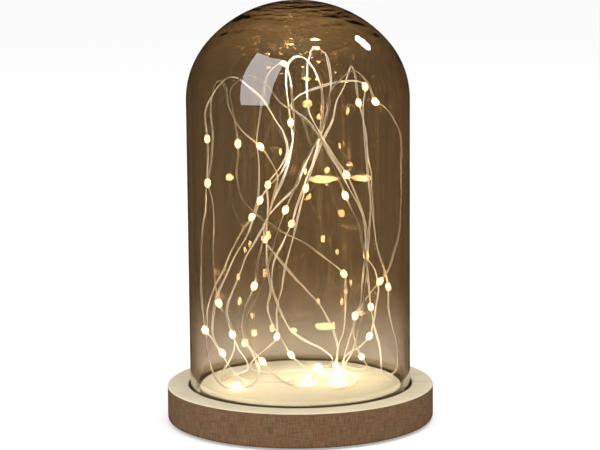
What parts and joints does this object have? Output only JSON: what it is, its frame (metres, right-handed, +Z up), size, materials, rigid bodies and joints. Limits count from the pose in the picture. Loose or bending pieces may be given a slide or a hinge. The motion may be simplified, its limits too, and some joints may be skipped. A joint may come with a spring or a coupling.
{
  "type": "led glass dome lamp",
  "caption": "Battery table lamp: smoked glass dome on a turned wooden base, filled with a long wire string of small warm-white lamps.",
  "frame": {"origin": "centre of the base, on the surface that the feet stand on", "axes": "+Z up along the dome, -Y towards the viewer of the picture, +X to the right in the picture"},
  "size_m": [0.145, 0.145, 0.228],
  "materials": {
    "smoked_glass": "clear gloss, tinted smoky brown",
    "turned_wood": "sanded, thin matt varnish",
    "box_plastic": "fine moulded texture, black",
    "door_plastic": "fine moulded texture, black",
    "cell_film": "plain printed film over the steel can",
    "contact_plate": "nickel plated",
    "spring_steel": "nickel plated",
    "board_laminate": "green solder mask",
    "chip_epoxy": "black moulded epoxy with tinned legs",
    "crystal_can": "bright drawn can",
    "resistor_ceramic": "black glaze with tinned ends",
    "switch_shell": "pressed, tinned",
    "knob_plastic": "white, smooth",
    "red_insulation": "soft insulation",
    "black_insulation": "soft insulation",
    "lamp_wire_metal": "silvered copper with clear enamel",
    "hot_melt_glue": "cloudy, set glue",
    "clear_resin": "clear, glows warm white",
    "led_phosphor": "yellow phosphor coat",
    "screw_steel": "zinc plated",
    "foam": "black closed-cell foam"
  },
  "bodies": {
    "base": {"wooden_base": "turned_wood", "battery_box": "box_plastic", "battery_1": "cell_film", "battery_2": "cell_film", "battery_3": "cell_film", "minus_contact": "contact_plate", "plus_contact": "contact_plate", "bridge_contact_1": "contact_plate", "bridge_contact_2": "contact_plate", "contact_spring_1": "spring_steel", "contact_spring_2": "spring_steel", "contact_spring_3": "spring_steel", "circuit_board": "board_laminate", "timer_chip": "chip_epoxy", "timer_crystal": "crystal_can", "chip_resistor": "resistor_ceramic", "switch_body": "switch_shell", "red_lead": "red_insulation", "black_lead": "black_insulation", "feed_wire": "lamp_wire_metal", "glue_plug": "hot_melt_glue", "lamp_wire": "lamp_wire_metal", "lamp_drops": "clear_resin", "lamp_chips": "led_phosphor", "box_screws": "screw_steel", "foot_1": "foam", "foot_2": "foam", "foot_3": "foam", "foot_4": "foam"},
    "dome": {"glass_dome": "smoked_glass"},
    "door": {"battery_door": "door_plastic"},
    "knob": {"switch_knob": "knob_plastic"}
  },
  "joints": [
    {"name": "dome_lift", "type": "slide", "parent": "base", "child": "dome", "axis": [0, 0, 1], "range_m": [0, 0.22]},
    {"name": "door_hinge", "type": "hinge", "parent": "base", "child": "door", "pos_m": [0, -0.02435, 0.00195], "axis": [-1, 0, 0], "range_deg": [0, 100]},
    {"name": "switch_slide", "type": "slide", "parent": "base", "child": "knob", "axis": [0, 1, 0], "range_m": [0, 0.004]}
  ]
}
